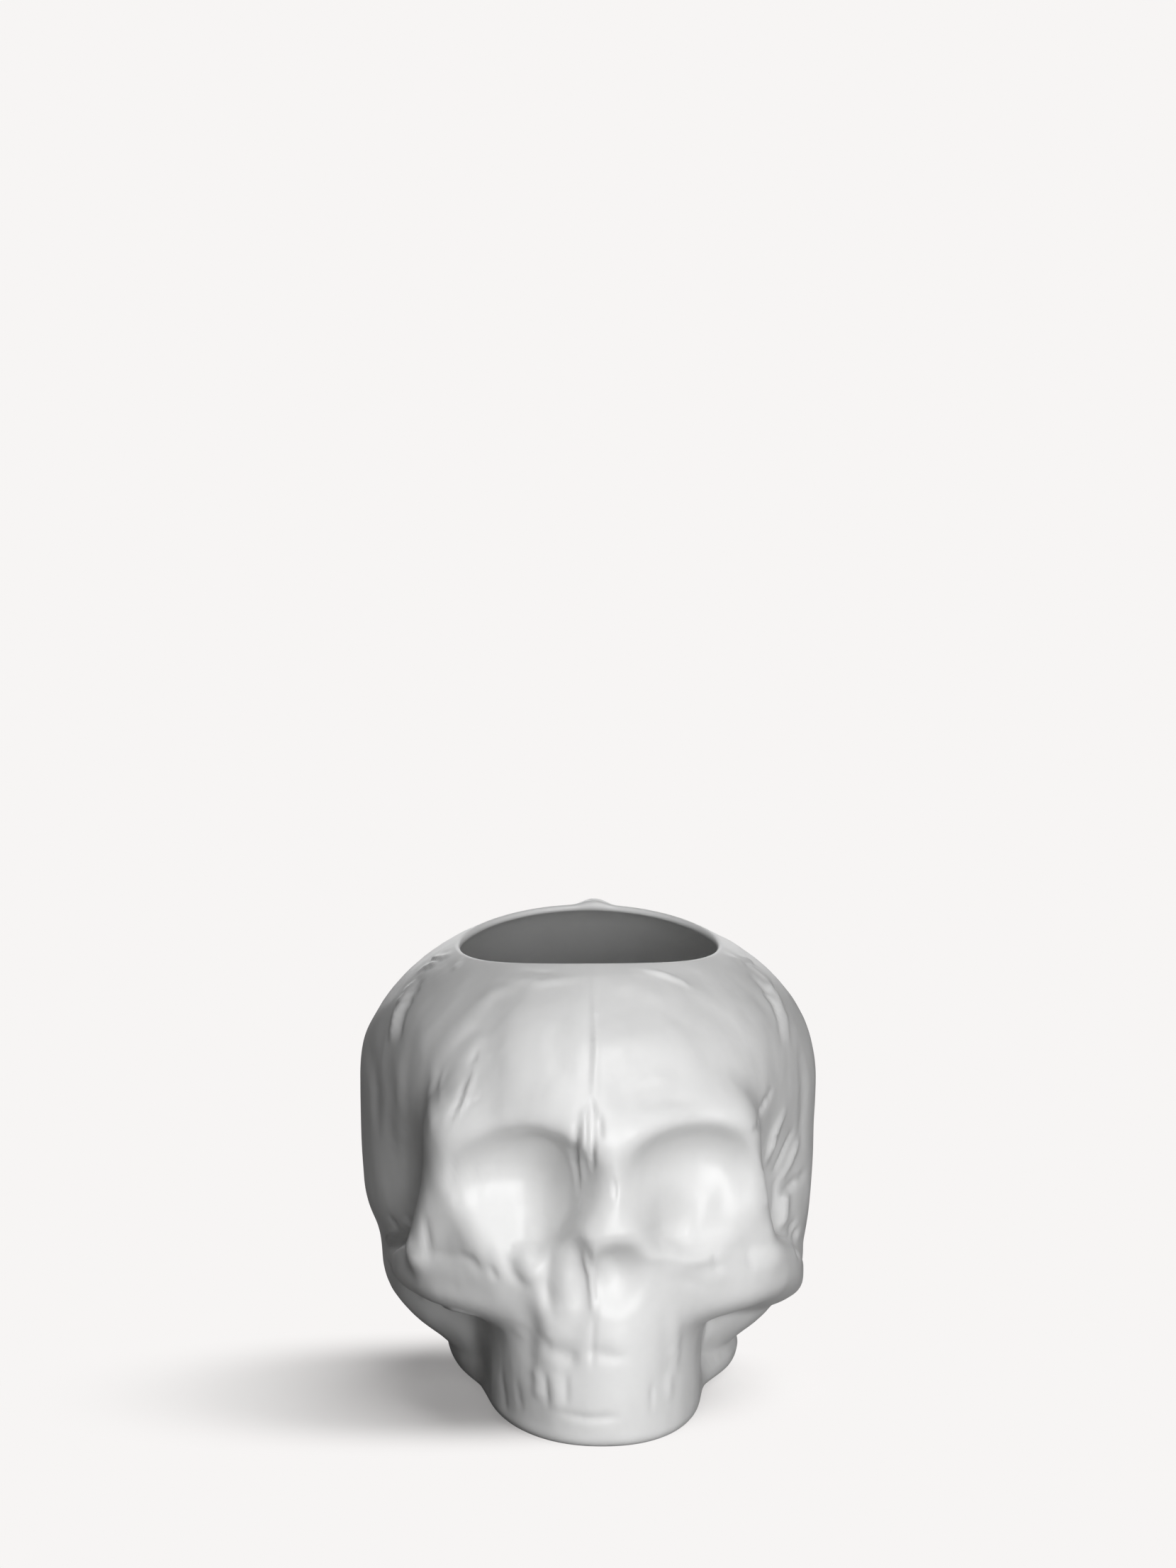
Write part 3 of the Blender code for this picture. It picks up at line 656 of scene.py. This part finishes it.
def stroke(points, line, width):
    """How strongly a modelling tool drawn along the line touches each point, softly at a long line's ends."""
    low, high = line.min(0) - 3 * width, line.max(0) + 3 * width
    close = ((points > low) & (points < high)).all(-1)
    gaps = ((points[close][:, None, :] - line[None, :, :]) ** 2).sum(-1)
    share = np.linspace(0.0, 1.0, len(line))
    ends = np.sin(math.pi * share) ** STROKE_FADE_POWER + 0.02
    weights = np.exp(-gaps / (0.8 * width) ** 2)
    faded = (weights * ends).sum(1) / np.maximum(weights.sum(1), 1e-30)
    reach = np.sqrt(((line[-1] - line[0]) ** 2).sum()) / width
    faded = faded + (1 - faded) * np.clip((SHORT_STROKE - reach) / SHORT_STROKE_OVER, 0.0, 1.0)
    touch = np.zeros(points.shape[:2])
    touch[close] = np.exp(-gaps.min(1) / width**2) * faded
    return touch


def unevenness(points):
    """The slow waves that the mould and the fire leave in the glass, in metres."""
    waves = np.zeros(points.shape[:2])
    for size, stretch, height in WAVES:
        for place in np.ndindex(waves.shape):
            x, y, z = points[place] / size
            waves[place] += height * noise.noise(Vector((x, y, z * stretch)))
    return waves


def relief(points):
    """The step from the plain skin to the moulded one."""
    normals = outwards(points)
    lift = unevenness(points)
    for corners, width, height in RELIEF:
        lift += height / 1000 * stroke(points, trail(corners, points, normals), width / 1000)
    height = points[..., 2]
    held = np.clip((height - RELIEF_STARTS_AT_Z) / RELIEF_FULL_AFTER, 0.0, 1.0)
    held[:, BASE_ROWS + OUTER_ROWS :] = 0.0
    for row in range(CALM_ROWS_AT_LIP):
        held[:, BASE_ROWS + OUTER_ROWS - 1 - row] *= row / CALM_ROWS_AT_LIP
    return normals * (lift * held)[..., None]


points = plain + relief(plain)
points *= np.minimum(1.0, np.array(cad_high) / points.max((0, 1)))
rows = points.shape[1] - 1
bubble = bmesh.new()
bmesh.ops.create_uvsphere(bubble, u_segments=COLUMNS, v_segments=rows, radius=1.0)
for vert in bubble.verts:
    row = round(math.acos(max(-1.0, min(1.0, -vert.co.z))) * rows / math.pi)
    column = round(math.atan2(vert.co.x, -vert.co.y) * COLUMNS / (2 * math.pi))
    vert.co = points[column % COLUMNS, row]
glass_mesh = bpy.data.meshes.new("skull_glass")
bubble.to_mesh(glass_mesh)
bubble.free()
glass_mesh.shade_smooth()
glass = bpy.data.objects.new("skull_glass", glass_mesh)
bpy.context.scene.collection.objects.link(glass)


# The glass itself is opaque white all through and fire-polished: softly glossy
# all over, cloudy from place to place, with the faint unevenness of a surface
# that cooled against a mould.
class Socket:
    """A socket of a shader node, so that shader maths reads as plain expressions."""

    def __init__(self, tree, socket):
        self.tree = tree
        self.socket = socket

    def node(self, kind, settings, values, output=0):
        """A new node of that kind, with its settings made first and then its sockets' values or links."""
        made = self.tree.nodes.new(kind)
        for setting, value in settings.items():
            setattr(made, setting, value)
        for name, value in values.items():
            if isinstance(value, Socket):
                self.tree.links.new(value.socket, made.inputs[name])
            else:
                made.inputs[name].default_value = value
        return Socket(self.tree, made.outputs[output])

    def math(self, operation, other):
        return self.node("ShaderNodeMath", {"operation": operation}, {0: self, 1: other})

    def __add__(self, other):
        return self.math("ADD", other)

    def __mul__(self, other):
        return self.math("MULTIPLY", other)

    def __sub__(self, other):
        return self.math("SUBTRACT", other)

    def __rsub__(self, other):
        return self.node("ShaderNodeMath", {"operation": "SUBTRACT"}, {0: other, 1: self})

    __radd__ = __add__
    __rmul__ = __mul__


CLOUDY_WHITE = (0.715, 0.715, 0.712, 1.0)
CLEAR_WHITE = (0.850, 0.850, 0.847, 1.0)
POLISH = 0.31
POLISH_LOST_IN_CLOUD = 0.12

opal = bpy.data.materials.new("opal_glass")
opal.use_nodes = True
shader = opal.node_tree.nodes["Principled BSDF"]
coordinates = opal.node_tree.nodes.new("ShaderNodeTexCoord")
place = Socket(opal.node_tree, coordinates.outputs["Object"])
cloud = place.node(
    "ShaderNodeTexNoise",
    {},
    {"Vector": place, "Scale": 42.0, "Detail": 5.0, "Roughness": 0.62},
)
ripple = place.node(
    "ShaderNodeTexNoise",
    {},
    {"Vector": place, "Scale": 160.0, "Detail": 2.0, "Roughness": 0.45},
)
milk = place.node(
    "ShaderNodeMix",
    {"data_type": "RGBA"},
    {"Factor": cloud, "A": CLOUDY_WHITE, "B": CLEAR_WHITE},
    2,
)
opal.node_tree.links.new(milk.socket, shader.inputs["Base Color"])
opal.node_tree.links.new((POLISH + POLISH_LOST_IN_CLOUD * cloud).socket, shader.inputs["Roughness"])
waves = place.node("ShaderNodeBump", {}, {"Strength": 0.20, "Distance": 0.0006, "Height": ripple})
opal.node_tree.links.new(waves.socket, shader.inputs["Normal"])
shader.inputs["IOR"].default_value = 1.5
shader.inputs["Specular IOR Level"].default_value = 0.4
shader.inputs["Subsurface Weight"].default_value = 0.35
shader.inputs["Subsurface Radius"].default_value = (1.0, 1.0, 1.0)
shader.inputs["Subsurface Scale"].default_value = 0.0018
glass_mesh.materials.append(opal)

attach(glass, "root")
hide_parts("skull")


# The table is a plain pale sheet of paper that the holder stands on. To the
# camera it is its own pale colour away from the holder, and it keeps the
# holder's shadow close to it.
TABLE_HALF_SIZE = 4.0
SHADOW_MIDDLE = (-0.040, -0.020, 0.0)
SHADOW_SIZES = (0.082, 0.038, 1.0)
SHADOW_FADES_FROM = 0.55
SHADOW_FADES_TO = 1.25
SHADOW_SOFTENING = 0.27
PALE = (0.930, 0.913, 0.905, 1.0)
IN_SHADOW = (1.20, 1.18, 1.17, 1.0)
TABLE_DARK_FOR_GLASS_SHADE = (0.06, 0.06, 0.06, 1.0)
SEEN_IN_GLOSS = 0.2

table_mesh = bpy.data.meshes.new("table")
sheet = bmesh.new()
bmesh.ops.create_grid(sheet, x_segments=8, y_segments=8, size=TABLE_HALF_SIZE)
sheet.to_mesh(table_mesh)
sheet.free()
table = bpy.data.objects.new("table", table_mesh)
bpy.context.scene.collection.objects.link(table)

paper = bpy.data.materials.new("table_paper")
paper.use_nodes = True
paper.node_tree.nodes.clear()
floor_place = Socket(paper.node_tree, paper.node_tree.nodes.new("ShaderNodeTexCoord").outputs["Object"])
from_middle = floor_place.node(
    "ShaderNodeVectorMath",
    {"operation": "SUBTRACT"},
    {0: floor_place, 1: SHADOW_MIDDLE},
)
in_sizes = floor_place.node(
    "ShaderNodeVectorMath",
    {"operation": "DIVIDE"},
    {0: from_middle, 1: SHADOW_SIZES},
)
away = floor_place.node("ShaderNodeVectorMath", {"operation": "LENGTH"}, {0: in_sizes}, 1)
fade = floor_place.node(
    "ShaderNodeMapRange",
    {"interpolation_type": "SMOOTHSTEP"},
    {"Value": away, "From Min": SHADOW_FADES_FROM, "From Max": SHADOW_FADES_TO},
)
rays = paper.node_tree.nodes.new("ShaderNodeLightPath")
seen = Socket(paper.node_tree, rays.outputs["Is Camera Ray"])
seen = seen + SEEN_IN_GLOSS * Socket(paper.node_tree, rays.outputs["Is Glossy Ray"])
seen = seen + Socket(paper.node_tree, rays.outputs["Is Transmission Ray"])
# To the glass the table shows a near-black colour in place of its pale one. This deepens the shade on the
# holder's undersides and makes the table mostly dark in the holder's reflections.
dark_table_for_glass_shade = floor_place.node("ShaderNodeBsdfDiffuse", {}, {"Color": TABLE_DARK_FOR_GLASS_SHADE})
shadowed = floor_place.node("ShaderNodeBsdfDiffuse", {}, {"Color": IN_SHADOW})
white = floor_place.node("ShaderNodeEmission", {}, {"Color": PALE, "Strength": 1.0})
share = SHADOW_SOFTENING + (1.0 - SHADOW_SOFTENING) * fade
near = floor_place.node("ShaderNodeMixShader", {}, {0: share, 1: shadowed, 2: white})
both = floor_place.node("ShaderNodeMixShader", {}, {0: seen, 1: dark_table_for_glass_shade, 2: near})
surface = paper.node_tree.nodes.new("ShaderNodeOutputMaterial")
paper.node_tree.links.new(both.socket, surface.inputs["Surface"])
table_mesh.materials.append(paper)


# The light. Three square soft lamps light the holder, low in front, high in
# front and behind. A fourth, behind on the right, lights the table alone and
# throws the holder's shadow on it to the left. The room around them is dim.
HOLDER_MIDDLE = (0.0, 0.0, 0.055)
ROOM_STRENGTH = 0.050


def soft_lamp(name, azimuth, elevation, distance, size, power, lit_object):
    """A square lamp that looks at the middle of the holder and lights one object, with shadows of all."""
    turn, tilt = math.radians(azimuth), math.radians(elevation)
    back = Vector((math.sin(turn) * math.cos(tilt), -math.cos(turn) * math.cos(tilt), math.sin(tilt)))
    light = bpy.data.lights.new(name, "AREA")
    light.size = size
    light.energy = power
    lamp = bpy.data.objects.new(name, light)
    bpy.context.scene.collection.objects.link(lamp)
    lamp.location = Vector(HOLDER_MIDDLE) + back * distance
    lamp.rotation_euler = (-back).to_track_quat("-Z", "Y").to_euler()
    lamp.light_linking.receiver_collection = bpy.data.collections.new(name + "_lights")
    lamp.light_linking.receiver_collection.objects.link(lit_object)


soft_lamp("front_lamp", azimuth=15.0, elevation=4.0, distance=0.7, size=0.42, power=4.45, lit_object=glass)
soft_lamp("back_lamp", azimuth=180.0, elevation=12.0, distance=1.5, size=1.2, power=9.0, lit_object=glass)
soft_lamp("high_lamp", azimuth=5.0, elevation=50.0, distance=1.2, size=0.5, power=4.8, lit_object=glass)
soft_lamp("table_lamp", azimuth=122.0, elevation=58.0, distance=1.5, size=2.6, power=46.0, lit_object=table)

room = bpy.data.worlds.new("room")
room.use_nodes = True
room.node_tree.nodes.clear()
world_rays = room.node_tree.nodes.new("ShaderNodeLightPath")
shown = Socket(room.node_tree, world_rays.outputs["Is Camera Ray"])
shown = shown + Socket(room.node_tree, world_rays.outputs["Is Transmission Ray"])
dim = shown.node("ShaderNodeBackground", {}, {"Color": (1.0, 1.0, 1.0, 1.0), "Strength": ROOM_STRENGTH})
pale = shown.node("ShaderNodeBackground", {}, {"Color": PALE, "Strength": 1.0})
sky = shown.node("ShaderNodeMixShader", {}, {0: shown, 1: dim, 2: pale})
room_output = room.node_tree.nodes.new("ShaderNodeOutputWorld")
room.node_tree.links.new(sky.socket, room_output.inputs["Surface"])
bpy.context.scene.world = room
bpy.context.scene.view_settings.view_transform = "Standard"


# The camera stands a good metre in front of the face and a little above it,
# and looks down on the rim of the opening.
CAMERA_PLACE = (-0.02375, -1.13624, 0.38025)
CAMERA_PITCH = 11.733
CAMERA_YAW = -1.188
CAMERA_LENS = 112.03

lens = bpy.data.cameras.new("camera")
lens.lens = CAMERA_LENS
lens.sensor_width = 36.0
camera = bpy.data.objects.new("camera", lens)
camera.location = CAMERA_PLACE
camera.rotation_euler = (math.radians(90.0 - CAMERA_PITCH), 0.0, math.radians(CAMERA_YAW))
bpy.context.scene.collection.objects.link(camera)
bpy.context.scene.camera = camera
